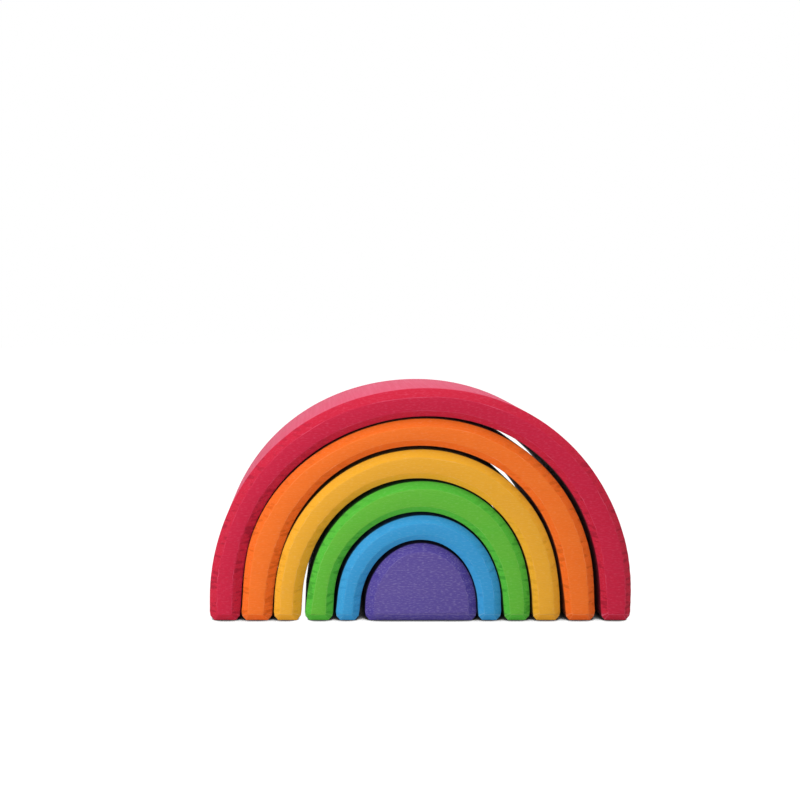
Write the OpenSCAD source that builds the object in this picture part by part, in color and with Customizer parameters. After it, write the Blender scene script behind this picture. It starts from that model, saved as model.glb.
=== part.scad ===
// Rainbow stacker: five arches nested over a half disc, all sawn from one block of limewood.
// Millimetres. The stack stands on z = 0, its width runs along x and its depth along y,
// and the red arch, which holds all the others, is centred on the origin.

/* [Half disc] */
// Width of the purple half disc across its foot
purple_w = 44.6; // [30:0.2:60]
// Height of its straight sides, below the round
purple_stilt = 10.1; // [5:0.1:20]

/* [Blue arch] */
// Width of each leg
blue_leg = 9.7; // [8:0.1:16]
// Height of the straight legs, below the round back
blue_stilt = 11.1; // [7:0.1:20]

/* [Green arch] */
// Width of each leg
green_leg = 10.8; // [8:0.1:16]
// Height of the straight legs, below the round back
green_stilt = 13.2; // [9:0.1:20]

/* [Yellow arch] */
// Width of each leg
yellow_leg = 11.8; // [8:0.1:18]
// Height of the straight legs, below the round back
yellow_stilt = 13.3; // [9:0.1:20]

/* [Orange arch] */
// Width of each leg
orange_leg = 12.4; // [9:0.1:20]
// Height of the straight legs, below the round back
orange_stilt = 12.1; // [8:0.1:20]

/* [Red arch] */
// Width of each leg
red_leg = 13; // [9:0.1:20]
// Height of the straight legs, below the round back
red_stilt = 10.1; // [7:0.1:20]

/* [Block] */
// Depth of every piece, front to back
depth = 40; // [20:1:60]
// Width of the saw cut, which is the play between two neighbours
kerf = 1; // [0.6:0.1:2]
// Width of the sanded bevel round the front and back edges
edge_bevel = 2.8; // [1:0.1:3.4]
// Width of the bevel round the underside of each foot
foot_bevel = 2; // [0.8:0.1:3]

/* [Lean] */
// Where the orange arch stands in the red one: -1 is hard left, 1 is hard right
orange_lean = -1; // [-1:0.1:1]
// Where the yellow arch stands in the orange one
yellow_lean = -0.8; // [-1:0.1:1]
// Where the green arch stands in the yellow one
green_lean = 0.9; // [-1:0.1:1]
// Where the blue arch stands in the green one
blue_lean = 0.2; // [-1:0.1:1]
// Where the purple half disc stands in the blue arch
purple_lean = 0.9; // [-1:0.1:1]
// Gap that is left on the side to which a piece leans hard
lean_gap = 0.3; // [0.1:0.1:0.5]

/* [Hidden] */
$fn = 128;
// How far a cutting shape runs past the wood that it cuts
past = 1;

// The pieces are counted from the inside out: 0 is the half disc and RED is the outermost arch
PURPLE = 0;
BLUE = 1;
GREEN = 2;
YELLOW = 3;
ORANGE = 4;
RED = 5;
legs = [purple_w / 2, blue_leg, green_leg, yellow_leg, orange_leg, red_leg];
stilts = [purple_stilt, blue_stilt, green_stilt, yellow_stilt, orange_stilt, red_stilt];
leans = [purple_lean, blue_lean, green_lean, yellow_lean, orange_lean];

// Radius of a piece's round back, and of the hollow in an arch, one saw cut outside what it covers
function back_r(i) = i == PURPLE ? legs[i] : hollow_r(i) + legs[i];
function hollow_r(i) = back_r(i - 1) + kerf;

// Sideways place of a piece, which follows from how each one around it leans
function place_x(i) = i == RED ? 0 : place_x(i + 1) + leans[i] * (kerf - lean_gap);

// Right-hand edge of a piece seen from above, with its front and back edges bevelled
function back_edge(r) = [
    [r - edge_bevel, -depth / 2],
    [r, edge_bevel - depth / 2],
    [r, depth / 2 - edge_bevel],
    [r - edge_bevel, depth / 2]
];

// Right-hand edge of the shape that cuts a hollow, flared at both ends to bevel the rim
function hollow_edge(r) = [
    [r + edge_bevel + past, -depth / 2 - past],
    [r, edge_bevel - depth / 2],
    [r, depth / 2 - edge_bevel],
    [r + edge_bevel + past, depth / 2 + past]
];

// The same edge on the left, taken from back to front
function mirrored(edge) = [for (k = [len(edge) - 1:-1:0]) [-edge[k].x, edge[k].y]];

// Half-round form on straight sides, which reach below the floor by the depth given
module stilted_round(edge, stilt, below = 0) {
    first = edge[0];
    last = edge[len(edge) - 1];
    translate([0, 0, stilt])
        rotate([90, 0, 0])
            rotate_extrude(angle = 180)
                polygon(concat([[0, first.y]], edge, [[0, last.y]]));
    translate([0, 0, -below])
        linear_extrude(stilt + below)
            polygon(concat(edge, mirrored(edge)));
}

// Wedge that bevels a foot whose upright side is the plane x = 0, with the wood at x below 0
module foot_wedge(run) {
    rotate([90, 0, 0])
        linear_extrude(run + 2 * past, center = true)
            polygon([
                [-foot_bevel - past, -past],
                [past, -past],
                [past, foot_bevel + past]
            ]);
}

// Solid piece with its round back, its bevelled edges and its foot bevelled all round
module blank(i) {
    r = back_r(i);
    difference() {
        stilted_round(back_edge(r), stilts[i]);
        for (side = [0, 180])
            rotate([0, 0, side]) translate([r, 0, 0]) foot_wedge(depth);
        for (side = [90, 270])
            rotate([0, 0, side]) translate([depth / 2, 0, 0]) foot_wedge(2 * r);
    }
}

// Arch: a blank hollowed out by the saw cut that freed the piece inside it
module arch(i) {
    r = hollow_r(i);
    difference() {
        blank(i);
        stilted_round(hollow_edge(r), stilts[i - 1], past);
        for (side = [0, 180])
            rotate([0, 0, side]) translate([-r, 0, 0]) foot_wedge(depth);
    }
}

module purple_half_disc() {
    color("#5f4d9e") translate([place_x(PURPLE), 0, 0]) blank(PURPLE);
}

module blue_arch() {
    color("#3d98d0") translate([place_x(BLUE), 0, 0]) arch(BLUE);
}

module green_arch() {
    color("#62b53d") translate([place_x(GREEN), 0, 0]) arch(GREEN);
}

module yellow_arch() {
    color("#e5a636") translate([place_x(YELLOW), 0, 0]) arch(YELLOW);
}

module orange_arch() {
    color("#f0722f") translate([place_x(ORANGE), 0, 0]) arch(ORANGE);
}

module red_arch() {
    color("#c72b48") translate([place_x(RED), 0, 0]) arch(RED);
}

purple_half_disc();
blue_arch();
green_arch();
yellow_arch();
orange_arch();
red_arch();
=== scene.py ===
import math
from collections import namedtuple

import bpy
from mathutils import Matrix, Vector, noise


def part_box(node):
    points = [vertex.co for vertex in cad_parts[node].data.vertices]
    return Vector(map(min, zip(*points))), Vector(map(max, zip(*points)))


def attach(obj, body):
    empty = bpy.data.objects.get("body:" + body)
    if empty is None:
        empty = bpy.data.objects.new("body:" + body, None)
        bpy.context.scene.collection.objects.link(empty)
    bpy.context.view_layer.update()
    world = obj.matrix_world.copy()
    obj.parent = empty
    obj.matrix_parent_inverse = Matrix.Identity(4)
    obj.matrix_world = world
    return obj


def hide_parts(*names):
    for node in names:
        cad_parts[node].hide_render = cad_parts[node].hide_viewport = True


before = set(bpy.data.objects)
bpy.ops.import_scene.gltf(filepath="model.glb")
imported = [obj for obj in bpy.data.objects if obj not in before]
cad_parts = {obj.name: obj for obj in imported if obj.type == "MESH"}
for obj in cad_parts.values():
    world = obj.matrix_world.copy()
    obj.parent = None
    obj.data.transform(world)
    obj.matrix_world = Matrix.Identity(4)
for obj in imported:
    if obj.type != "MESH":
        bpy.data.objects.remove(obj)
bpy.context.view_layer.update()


# Purple half disc: the core of the stack, a solid half round of limewood that stays in the middle.
# It is sawn from the block on a scroll saw, its edges and foot are bevelled on a belt sander,
# and it is dipped in a thin water stain that lets the fibres show.
MM = 0.001
LEG_STATIONS = 12
CROWN_STATIONS = 400
WANDER_FADE = 3
FLARE_REACH = 24 * MM
FOOT_RISE = 3.2 * MM
FOOT_DEPTH = 2 * MM
FOOT_TURN = 0.5 * MM


def sawn_line(low_x, high_x, top, spring, flare, wander, lobes, crest):
    """Points of a saw cut, up the left side, over the crown and down the right side.

    A round stands on straight sides up to spring. The saw wanders off it in a few lobes, one of which has
    its crest at the angle given, and less so close to the sides. Flare is how far the left and the right
    foot spread outwards."""
    left_flare, right_flare = flare
    middle = (low_x + high_x) / 2
    half = (high_x - low_x) / 2
    foot = FOOT_RISE + FOOT_TURN
    leg = [foot + (spring - foot) * k / LEG_STATIONS for k in range(LEG_STATIONS)]
    points = [Vector((low_x, height)) for height in leg]
    for k in range(CROWN_STATIONS + 1):
        angle = math.pi * (1 - k / CROWN_STATIONS)
        fade = min(1, WANDER_FADE * math.sin(angle))
        out = wander * math.cos(lobes * (angle - math.radians(crest))) * fade
        x = middle + (half + out) * math.cos(angle)
        points.append(Vector((x, spring + (top - spring + out) * math.sin(angle))))
    points += [Vector((high_x, height)) for height in reversed(leg)]
    for point in points:
        spread = max(0, 1 - point.y / FLARE_REACH) ** 2
        point.x += spread * (right_flare if point.x > middle else -left_flare)
    return points


# A station round a piece: its edge point, its face point, the depth of the bevel between them,
# and what the wall behind it is: a saw cut, the sanded outside of the block, the cut under a foot,
# or the crease where that cut meets another
Station = namedtuple("Station", "edge face depth wall")

BEVEL_SLOPE = 0.65
SWAY_LENGTH = 14 * MM
SWAY_SHARE = 0.1
CHATTER_LENGTH = 2.2 * MM
CHATTER_SHARE = 0.12


def bevelled(line, left, crown, right, seed, wall="cut"):
    """Stations along a line that has the wood on the right of its direction.

    The bevel has its own width on the left, at the crown and on the right. The sander swayed along it,
    and chattered where it met the end grain of the legs."""
    low_x = min(point.x for point in line)
    high_x = max(point.x for point in line)
    last = len(line) - 1
    stations = []
    for k, point in enumerate(line):
        along = line[min(k + 1, last)] - line[max(k - 1, 0)]
        inward = Vector((along.y, -along.x)).normalized()
        lean = 2 * (point.x - low_x) / (high_x - low_x) - 1
        width = crown + ((right if lean > 0 else left) - crown) * lean ** 2
        sway = noise.noise(Vector((point.x, point.y, 0)) / SWAY_LENGTH + Vector((0, 0, seed)))
        chatter = noise.noise(Vector((0, point.y / CHATTER_LENGTH, seed))) * inward.x ** 2
        width *= 1 + SWAY_SHARE * sway + CHATTER_SHARE * chatter
        stations.append(Station(point, point + inward * width, width * BEVEL_SLOPE, wall))
    return stations


FOOT_CUT_WIDE = 1.8 * MM
FOOT_CUT_TALL = 2.2 * MM
CORNER_STATIONS = 6
SOLE_STATIONS = 12


def foot_corner(side, outward):
    """Stations round the lower corner of a foot, from its side to its sole."""
    corner = []
    for k in range(1, CORNER_STATIONS + 1):
        share = k / (CORNER_STATIONS + 1)
        turn = share * math.pi / 2
        cut = Vector((side.edge.x - outward * FOOT_CUT_WIDE * share, FOOT_CUT_TALL * (1 - share)))
        rim_x = side.face.x - outward * FOOT_TURN * (1 - math.cos(turn))
        rim = Vector((rim_x, FOOT_RISE + (side.face.y - FOOT_RISE) * (1 - math.sin(turn))))
        wall = "crease" if k in (1, CORNER_STATIONS) else "foot"
        corner.append(Station(cut, rim, side.depth + (FOOT_DEPTH - side.depth) * share, wall))
    return corner


def sole(right_side, left_side):
    """Stations round the underside of a foot, from its right side to its left."""
    edge_from = right_side.edge.x - FOOT_CUT_WIDE
    edge_to = left_side.edge.x + FOOT_CUT_WIDE
    face_from = right_side.face.x - FOOT_TURN
    face_to = left_side.face.x + FOOT_TURN
    stations = foot_corner(right_side, 1)
    for k in range(SOLE_STATIONS + 1):
        share = k / SOLE_STATIONS
        edge = Vector((edge_from + (edge_to - edge_from) * share, 0))
        face = Vector((face_from + (face_to - face_from) * share, FOOT_RISE))
        stations.append(Station(edge, face, FOOT_DEPTH, "foot"))
    return stations + foot_corner(left_side, -1)[::-1]


SOFT_EDGE = 0.25 * MM
SOFT_SINK = 0.05 * MM
LEG_WEAR = 0.8
RIM_WEAR = 0.3


def sawn_piece(name, stations, cells, depth):
    """Solid piece, bevelled round its front and back. Cells lists the stations round each facet of its face.

    Its marks say how far a point lies down the bevel, where an edge is worn, and what its wall is."""
    back = Vector((0, 1, 0))
    points = []
    marks = {"bevel": [], "wear": [], "cut": [], "outside": []}
    for station in stations:
        start = Vector((station.face.x, -depth / 2, station.face.y))
        end = Vector((station.edge.x, station.depth - depth / 2, station.edge.y))
        slope = end - start
        near = SOFT_EDGE / slope.length
        inward = Vector((-slope.x, 0, -slope.z)).normalized()
        ring = [start + inward * SOFT_EDGE, start + back * SOFT_SINK]
        ring += [start + slope * share for share in (near, 1 / 3, 2 / 3, 1 - near)]
        ring += [end + inward * SOFT_SINK, end + back * SOFT_EDGE]
        points += ring + [Vector((p.x, -p.y, p.z)) for p in reversed(ring)]
        wall = [0, 0, 0, 0, 0, 0, 0.5, 1]
        most_wear = LEG_WEAR if station.wall in ("cut", "outside") else 1
        down_bevel = 1 if station.wall == "crease" else 0
        rim = max(RIM_WEAR, down_bevel)
        worn = (0, 1, rim, down_bevel, down_bevel, rim, 1, 0)
        soaked_wall = 0 if station.wall == "outside" else 1
        for mark, values in (
            ("bevel", [0, 0, near, 1 / 3, 2 / 3, 1 - near, 1, soaked_wall]),
            ("wear", [value * most_wear for value in worn]),
            ("cut", [value * (station.wall != "outside") for value in wall]),
            ("outside", [value * (station.wall == "outside") for value in wall]),
        ):
            marks[mark] += values + values[::-1]
    count = len(ring) * 2
    total = len(points)
    faces = []
    for i in range(0, total, count):
        j = (i + count) % total
        faces += [(i + k, i + k + 1, j + k + 1, j + k) for k in range(count - 1)]
    for cell in cells:
        faces.append([i * count for i in cell])
        faces.append([i * count + count - 1 for i in reversed(cell)])
    mesh = bpy.data.meshes.new(name)
    mesh.from_pydata(points, [], faces)
    for mark, values in marks.items():
        mesh.attributes.new(mark, "FLOAT", "POINT").data.foreach_set("value", values)
    mesh.shade_smooth()
    piece = bpy.data.objects.new(name, mesh)
    bpy.context.collection.objects.link(piece)
    return piece


def linear(code):
    """Linear colour of an sRGB hex value."""
    parts = [int(code[k:k + 2], 16) / 255 for k in (1, 3, 5)]
    return [c / 12.92 if c <= 0.04045 else ((c + 0.055) / 1.055) ** 2.4 for c in parts] + [1]


def add_node(tree, kind, settings=None, links=None):
    """Adds a node, sets its properties and input values, and links other nodes' outputs to its inputs.

    Inputs go by name, or by number. Those of a map range are 0 the value, 1 and 2 the range it comes from,
    and 3 and 4 the range it goes to. Those of a colour mix are 0 the share, and 6 and 7 the colours."""
    node = tree.nodes.new(kind)
    for name, value in (settings or {}).items():
        if isinstance(name, str) and hasattr(node, name):
            setattr(node, name, value)
        else:
            node.inputs[name].default_value = value
    for name, output in (links or {}).items():
        tree.links.new(output, node.inputs[name])
    return node


def stained_limewood(name, face, soaked, torn, raised_fibre_and_sheen, fleck_share, torn_share):
    """Limewood, sanded and water stained: matt and a little fuzzy, with fine fibres along x.

    Its bevels and saw cuts soak up more stain than its faces, and raised fibres on the faces stay pale. The
    outside is painted paler, partly for its raised fibres and partly as painted sheen, and saw cuts get
    painted shade where something lies close. Where a bevel cuts across the fibres they are torn and dark.
    The shares say how strongly the pale and the torn fibres show."""
    material = bpy.data.materials.new(name)
    material.use_nodes = True
    tree = material.node_tree
    tree.nodes.clear()
    place = add_node(tree, "ShaderNodeTexCoord").outputs
    facing = add_node(tree, "ShaderNodeSeparateXYZ", {}, {"Vector": place["Normal"]}).outputs
    bevel, wear, cut, outside = [
        add_node(tree, "ShaderNodeAttribute", {"attribute_name": mark}).outputs["Fac"]
        for mark in ("bevel", "wear", "cut", "outside")
    ]

    # Size along x, y and z in millimetres, and detail, of each mark that the eye sees: fibres, growth bands,
    # the pale ends of raised fibres, torn ticks, and sanding streaks from front to back on the outside.
    # Fibres and ends are drawn coarse.
    marks = []
    for size, detail in (
        ((5, 0.5, 0.5), 3),
        ((30, 9, 6), 2),
        ((1.6, 0.4, 0.45), 2),
        ((6, 5, 1.7), 1),
        ((0.9, 25, 0.9), 2),
    ):
        scale = [1 / (length * MM) for length in size]
        spread = add_node(tree, "ShaderNodeMapping", {"Scale": scale}, {"Vector": place["Object"]})
        pattern = {"Scale": 1, "Detail": detail}
        mark = add_node(tree, "ShaderNodeTexNoise", pattern, {"Vector": spread.outputs[0]})
        marks.append(mark.outputs["Fac"])
    fibre, band, fleck, tick, streak = marks

    # Torn ticks show on bevels that face along the grain, and fainter on saw cuts. Edges are worn in places,
    # and a saw cut is painted black as shade where another piece or the table lies close to it.
    sanded = add_node(tree, "ShaderNodeMapRange", {1: 0.02, 2: 0.14}, {0: bevel}).outputs[0]
    across = add_node(tree, "ShaderNodeMath", {"operation": "ABSOLUTE"}, {0: facing["X"]}).outputs[0]
    across = add_node(tree, "ShaderNodeMapRange", {1: 0.15, 2: 0.5}, {0: across}).outputs[0]
    tick = add_node(tree, "ShaderNodeMapRange", {1: 0.55, 2: 0.62}, {0: tick}).outputs[0]
    cut_tick_share = 0.4
    uncut = add_node(tree, "ShaderNodeMapRange", {3: 1, 4: cut_tick_share}, {0: cut}).outputs[0]
    # Painted shade: how closed in a point is, by ambient occlusion within a few millimetres
    nearness = {"samples": 8, "Distance": 5 * MM}
    open_sky = add_node(tree, "ShaderNodeAmbientOcclusion", nearness).outputs["AO"]
    close = add_node(tree, "ShaderNodeMapRange", {1: 0.3, 2: 0.95, 3: 1, 4: 0}, {0: open_sky}).outputs[0]
    products = []
    for product, *factors in ((tick, across, sanded, uncut), (wear, band), (close, cut), (streak, outside)):
        for factor in factors:
            node = add_node(tree, "ShaderNodeMath", {"operation": "MULTIPLY"}, {0: product, 1: factor})
            product = node.outputs[0]
        products.append(product)
    tick, worn, painted_shade, streak = products

    # Each layer of colour: what shows it, where it starts and is full, the most it covers, and its colour
    colour = None
    for mark, start, full, most, tint in (
        (band, 0.3, 0.7, 0.3, soaked),
        (fibre, 0.4, 0.8, 0.15, torn),
        (sanded, 0, 1, 0.8, soaked),
        (fleck, 0.5, 0.8, fleck_share, raised_fibre_and_sheen),
        (tick, 0, 1, torn_share, torn),
        (worn, 0.3, 0.55, 0.33, raised_fibre_and_sheen),
        # Painted sheen and raised fibres: the outside is painted paler all over
        (outside, 0, 1, 0.24, raised_fibre_and_sheen),
        (streak, 0.4, 0.7, 0.12, raised_fibre_and_sheen),
        (cut, 0, 1, 0.5, torn),
        # Painted shade: saw cuts go black where another piece or the table lies close
        (painted_shade, 0, 1, 0.9, "#000000"),
    ):
        share = add_node(tree, "ShaderNodeMapRange", {1: start, 2: full, 4: most}, {0: mark})
        links = {0: share.outputs[0]}
        if colour:
            links[6] = colour
        tints = {"data_type": "RGBA", 6: linear(face), 7: linear(tint)}
        colour = add_node(tree, "ShaderNodeMix", tints, links).outputs[2]

    height = add_node(tree, "ShaderNodeMath", {"operation": "ADD"}, {0: fibre, 1: fleck})
    height = add_node(tree, "ShaderNodeMath", {"operation": "SUBTRACT"}, {0: height.outputs[0], 1: tick})
    relief = {"Strength": 0.3, "Distance": 0.15 * MM}
    bump = add_node(tree, "ShaderNodeBump", relief, {"Height": height.outputs[0]})
    roughness = add_node(tree, "ShaderNodeMapRange", {3: 0.55, 4: 0.75}, {0: fleck})
    finish = {"IOR": 1.45, "Specular IOR Level": 0.1, "Sheen Weight": 0.03, "Sheen Roughness": 0.4}
    shader = add_node(tree, "ShaderNodeBsdfPrincipled", finish,
                      {"Base Color": colour, "Roughness": roughness.outputs[0], "Normal": bump.outputs[0]})
    add_node(tree, "ShaderNodeOutputMaterial", {}, {"Surface": shader.outputs[0]})
    return material


purple_low, purple_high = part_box("purple_half_disc")
purple_back = sawn_line(purple_low.x + 0.5 * MM, purple_high.x + 0.1 * MM, purple_high.z + 0.05 * MM,
                        spring=7 * MM, flare=(0.6 * MM, 0.95 * MM), wander=0.07 * MM, lobes=5, crest=30)
purple_stations = bevelled(purple_back, left=3.6 * MM, crown=3.2 * MM, right=3.8 * MM, seed=1)
purple_stations += sole(purple_stations[-1], purple_stations[0])
purple_cells = [list(range(len(purple_stations)))]
purple = sawn_piece("purple_half_disc_wood", purple_stations, purple_cells, purple_high.y - purple_low.y)
purple_wood = stained_limewood("purple stained limewood", face="#5f5196", soaked="#4f4292", torn="#3c308a",
                               raised_fibre_and_sheen="#a79cc8", fleck_share=0.38, torn_share=0.4)
purple.data.materials.append(purple_wood)
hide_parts("purple_half_disc")
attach(purple, "purple")


# Blue arch: the smallest of the five, one solid of limewood, sawn off the half disc and loose on it.
# The cut is about a millimetre wide and not quite even, so the arch stands a little to one side.
def sawn_arch(name, back, hollow, depth):
    """Arch between the stations of its back, taken to the right, and of its hollow, taken to the left."""
    right_foot = sole(back[-1], hollow[0])
    left_foot = sole(hollow[-1], back[0])
    stations = back + right_foot + hollow + left_foot
    right_end = len(back) + len(right_foot)
    left_end = right_end + len(hollow) - 1
    cells = [(k, k + 1, left_end - k - 1, left_end - k) for k in range(len(back) - 1)]
    cells.append(list(range(len(back) - 1, right_end + 1)))
    cells.append(list(range(left_end, len(stations))) + [0])
    return sawn_piece(name, stations, cells, depth)


blue_low, blue_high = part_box("blue_arch")
blue_hollow = sawn_line(purple_low.x - 1.1 * MM, purple_high.x + 0.2 * MM, purple_high.z + 1.45 * MM,
                        spring=8.1 * MM, flare=(1.5 * MM, 1.4 * MM), wander=0.09 * MM, lobes=3, crest=79)
blue_back = sawn_line(blue_low.x + 0.8 * MM, blue_high.x - 0.05 * MM, blue_high.z - 0.1 * MM,
                      spring=9.3 * MM, flare=(1.7 * MM, MM), wander=0.22 * MM, lobes=4, crest=68)
blue = sawn_arch("blue_arch_wood",
                 bevelled(blue_back, left=2.8 * MM, crown=3 * MM, right=3.2 * MM, seed=2),
                 bevelled(blue_hollow[::-1], left=3.2 * MM, crown=2.6 * MM, right=2.2 * MM, seed=12),
                 blue_high.y - blue_low.y)
blue_wood = stained_limewood("blue stained limewood", face="#3a96cc", soaked="#3899d2", torn="#2274b0",
                             raised_fibre_and_sheen="#9cc8e2", fleck_share=0.15, torn_share=0.25)
blue.data.materials.append(blue_wood)
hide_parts("blue_arch")
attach(blue, "blue")


# Green arch: the second arch out, one solid of limewood, loose over the blue one.
# Sawn, bevelled by hand and stained like the rest, it leans to the right inside the yellow arch.
green_low, green_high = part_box("green_arch")
green_hollow = sawn_line(blue_low.x - 0.9 * MM, blue_high.x + 0.2 * MM, blue_high.z + 1.35 * MM,
                         spring=9.4 * MM, flare=(0.8 * MM, 2 * MM), wander=0.13 * MM, lobes=4, crest=70)
green_back = sawn_line(green_low.x + 0.6 * MM, green_high.x - 0.1 * MM, green_high.z + 0.1 * MM,
                       spring=8.3 * MM, flare=(2.25 * MM, MM), wander=0.27 * MM, lobes=3, crest=39)
green = sawn_arch("green_arch_wood",
                  bevelled(green_back, left=2.5 * MM, crown=3 * MM, right=3.2 * MM, seed=3),
                  bevelled(green_hollow[::-1], left=3.1 * MM, crown=2.6 * MM, right=2.2 * MM, seed=13),
                  green_high.y - green_low.y)
green_wood = stained_limewood("green stained limewood", face="#64b33a", soaked="#4cb436", torn="#348c28",
                              raised_fibre_and_sheen="#a8d68c", fleck_share=0.15, torn_share=0.6)
green.data.materials.append(green_wood)
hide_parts("green_arch")
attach(green, "green")


# Yellow arch: the third arch out, one solid of limewood, loose over the green one.
# It leans to the left inside the orange arch, and away from the left leg of the green one.
yellow_low, yellow_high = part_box("yellow_arch")
yellow_hollow = sawn_line(green_low.x - 1.7 * MM, green_high.x + 0.55 * MM, green_high.z + 1.05 * MM,
                          spring=9 * MM, flare=(0.95 * MM, 1.45 * MM), wander=0.09 * MM, lobes=5, crest=40)
yellow_back = sawn_line(yellow_low.x + 0.45 * MM, yellow_high.x - 0.25 * MM, yellow_high.z - 0.1 * MM,
                        spring=8.2 * MM, flare=(0.85 * MM, 1.3 * MM), wander=0.23 * MM, lobes=3, crest=42)
yellow = sawn_arch("yellow_arch_wood",
                   bevelled(yellow_back, left=2.6 * MM, crown=3.1 * MM, right=3.1 * MM, seed=4),
                   bevelled(yellow_hollow[::-1], left=3.8 * MM, crown=2.6 * MM, right=2.2 * MM, seed=14),
                   yellow_high.y - yellow_low.y)
yellow_wood = stained_limewood("yellow stained limewood", face="#e4a434", soaked="#eaa829", torn="#c48616",
                               raised_fibre_and_sheen="#f0cf90", fleck_share=0.15, torn_share=0.3)
yellow.data.materials.append(yellow_wood)
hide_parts("yellow_arch")
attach(yellow, "yellow")


# Orange arch: the fourth arch out, one solid of limewood, loose over the yellow one.
# The saw wandered most on the cut that freed its back, and it leans hard to the left inside the red arch.
orange_low, orange_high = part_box("orange_arch")
orange_hollow = sawn_line(yellow_low.x, yellow_high.x + 1.1 * MM, yellow_high.z + 1.45 * MM,
                          spring=8 * MM, flare=(0.9 * MM, 2.2 * MM), wander=0.32 * MM, lobes=4, crest=42)
orange_back = sawn_line(orange_low.x + 0.65 * MM, orange_high.x - 0.45 * MM, orange_high.z - 0.35 * MM,
                        spring=12.5 * MM, flare=(1.45 * MM, 1.85 * MM), wander=0.38 * MM, lobes=4, crest=70)
orange = sawn_arch("orange_arch_wood",
                   bevelled(orange_back, left=2.7 * MM, crown=3.1 * MM, right=3.3 * MM, seed=5),
                   bevelled(orange_hollow[::-1], left=3.6 * MM, crown=2.7 * MM, right=2.2 * MM, seed=15),
                   orange_high.y - orange_low.y)
orange_wood = stained_limewood("orange stained limewood", face="#ee742a", soaked="#ec681c", torn="#c45410",
                               raised_fibre_and_sheen="#f6b088", fleck_share=0.15, torn_share=0.55)
orange.data.materials.append(orange_wood)
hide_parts("orange_arch")
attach(orange, "orange")


# Red arch: the outermost, one solid of limewood that stands over all the others.
# Its round back is the sanded outside of the block, painted paler: partly its raised fibres, partly painted
# sheen.
red_low, red_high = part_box("red_arch")
red_hollow = sawn_line(orange_low.x + 0.15 * MM, orange_high.x + 1.75 * MM, orange_high.z + 0.75 * MM,
                       spring=11.1 * MM, flare=(1.4 * MM, 1.9 * MM), wander=0.36 * MM, lobes=4, crest=60)
red_back = sawn_line(red_low.x + 0.25 * MM, red_high.x, red_high.z - 0.15 * MM,
                     spring=9.6 * MM, flare=(0.4 * MM, 0.6 * MM), wander=0.27 * MM, lobes=5, crest=60)
red = sawn_arch("red_arch_wood",
                bevelled(red_back, left=3.2 * MM, crown=3.3 * MM, right=3 * MM, seed=6, wall="outside"),
                bevelled(red_hollow[::-1], left=3.8 * MM, crown=2.5 * MM, right=2.2 * MM, seed=16),
                red_high.y - red_low.y)
red_wood = stained_limewood("red stained limewood", face="#c42442", soaked="#c02039", torn="#981830",
                            raised_fibre_and_sheen="#ee88aa", fleck_share=0.12, torn_share=0.65)
red.data.materials.append(red_wood)
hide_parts("red_arch")
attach(red, "red")


# Table: a wide sheet of white paper under a white surround, as in a catalogue picture.
# What is seen of both is plain white; the paper has painted shadow close between the feet, and a faint real
# shadow where they shade it.
def seen_directly(tree):
    """1 for what is seen, straight or by way of gloss or glass, and 0 for light that falls on the wood."""
    path = add_node(tree, "ShaderNodeLightPath").outputs
    seen = path["Is Camera Ray"]
    for other in ("Is Glossy Ray", "Is Transmission Ray"):
        either = add_node(tree, "ShaderNodeMath", {"operation": "MAXIMUM"}, {0: seen, 1: path[other]})
        seen = either.outputs[0]
    return seen


table_radius = 2
white_share = 0.85
white_level = 1.2
wide_gap = green_low.x - 2 * MM
white_gap_half_width = 3 * MM
dark_from = 6 * MM
white_gap_reach = 1.5 * MM
dark_reach = 8 * MM
closed_below = 0.3
open_above = 0.5
bpy.ops.mesh.primitive_circle_add(vertices=64, radius=table_radius, fill_type="NGON")
table = bpy.context.object
table.name = "table"
paper = bpy.data.materials.new("white table paper")
paper.use_nodes = True
tree = paper.node_tree
tree.nodes.clear()
share = add_node(tree, "ShaderNodeMath", {"operation": "MULTIPLY", 1: white_share}, {0: seen_directly(tree)})
# Painted shadow between the feet reaches less far by the wide gap left of the green arch, so the paper stays
# white there
place = add_node(tree, "ShaderNodeTexCoord").outputs["Object"]
across = add_node(tree, "ShaderNodeSeparateXYZ", {}, {"Vector": place}).outputs["X"]
aside = add_node(tree, "ShaderNodeMath", {"operation": "SUBTRACT", 1: wide_gap}, {0: across})
aside = add_node(tree, "ShaderNodeMath", {"operation": "ABSOLUTE"}, {0: aside.outputs[0]})
growth = {1: white_gap_half_width, 2: dark_from, 3: white_gap_reach, 4: dark_reach}
reach = add_node(tree, "ShaderNodeMapRange", growth, {0: aside.outputs[0]})
# Painted shadow: the paper's glow dims where ambient occlusion finds the feet close
painted_contact_shadow = add_node(tree, "ShaderNodeAmbientOcclusion", {"samples": 16}, {"Distance": reach.outputs[0]})
lightness = {1: closed_below, 2: open_above, 4: white_level}
painted_shadow_glow = add_node(tree, "ShaderNodeMapRange", lightness, {0: painted_contact_shadow.outputs["AO"]})
diffuse = add_node(tree, "ShaderNodeBsdfDiffuse", {"Color": linear("#cccccc")})
glow = add_node(tree, "ShaderNodeEmission", {}, {"Strength": painted_shadow_glow.outputs[0]})
blend = {0: share.outputs[0], 1: diffuse.outputs[0], 2: glow.outputs[0]}
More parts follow.
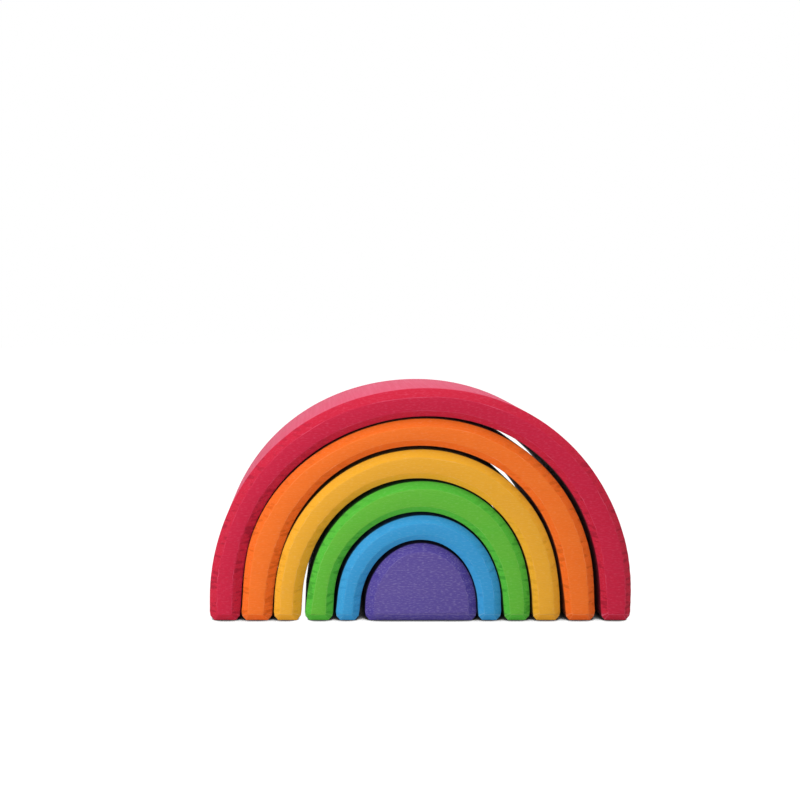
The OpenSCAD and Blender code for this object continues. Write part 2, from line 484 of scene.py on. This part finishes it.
mixed = add_node(tree, "ShaderNodeMixShader", {}, blend)
add_node(tree, "ShaderNodeOutputMaterial", {}, {"Surface": mixed.outputs[0]})
table.data.materials.append(paper)

ambient = 0.36
world = bpy.data.worlds.new("white surround")
world.use_nodes = True
tree = world.node_tree
tree.nodes.clear()
level = add_node(tree, "ShaderNodeMapRange", {3: ambient, 4: 1}, {0: seen_directly(tree)})
surround = add_node(tree, "ShaderNodeBackground", {"Color": (1, 1, 1, 1)}, {"Strength": level.outputs[0]})
add_node(tree, "ShaderNodeOutputWorld", {}, {"Surface": surround.outputs[0]})
bpy.context.scene.world = world

# Two soft lamps: the key in front and to the left, and another overhead.
# A lamp's level is how bright it makes a white surface that faces it.
aim = Vector((0, 0, purple_high.z))
for name, way, distance, size, lamp_level in (
    ("key lamp", Vector((-0.5, -0.5, 0.15)), 0.65, 0.55, 0.73),
    ("overhead lamp", Vector((0.1, -0.12, 1)), 0.6, 0.5, 0.76),
):
    way.normalize()
    lamp = bpy.data.lights.new(name, "AREA")
    lamp.shape = "DISK"
    lamp.size = size
    lamp.energy = lamp_level * (math.pi * distance) ** 2
    lamp_object = bpy.data.objects.new(name, lamp)
    lamp_object.location = aim + way * distance
    lamp_object.rotation_euler = (-way).to_track_quat("-Z", "Y").to_euler()
    bpy.context.collection.objects.link(lamp_object)

# Camera: low in front and left of the middle, looking straight back and a little down
frame_px = 800
centre_column_px = 317.5
centre_row_px = 429
focal_px = 782.1
tilt_deg = 9.36
camera_data = bpy.data.cameras.new("camera")
camera_data.sensor_width = 36
camera_data.lens = focal_px * camera_data.sensor_width / frame_px
camera_data.shift_x = 0.5 - centre_column_px / frame_px
camera_data.shift_y = centre_row_px / frame_px - 0.5
camera = bpy.data.objects.new("camera", camera_data)
camera.location = Vector((-41.33, -318.58, 128.2)) * MM
camera.rotation_euler = (math.radians(90 - tilt_deg), 0, 0)
bpy.context.collection.objects.link(camera)
bpy.context.scene.camera = camera
bpy.context.scene.view_settings.view_transform = "Standard"
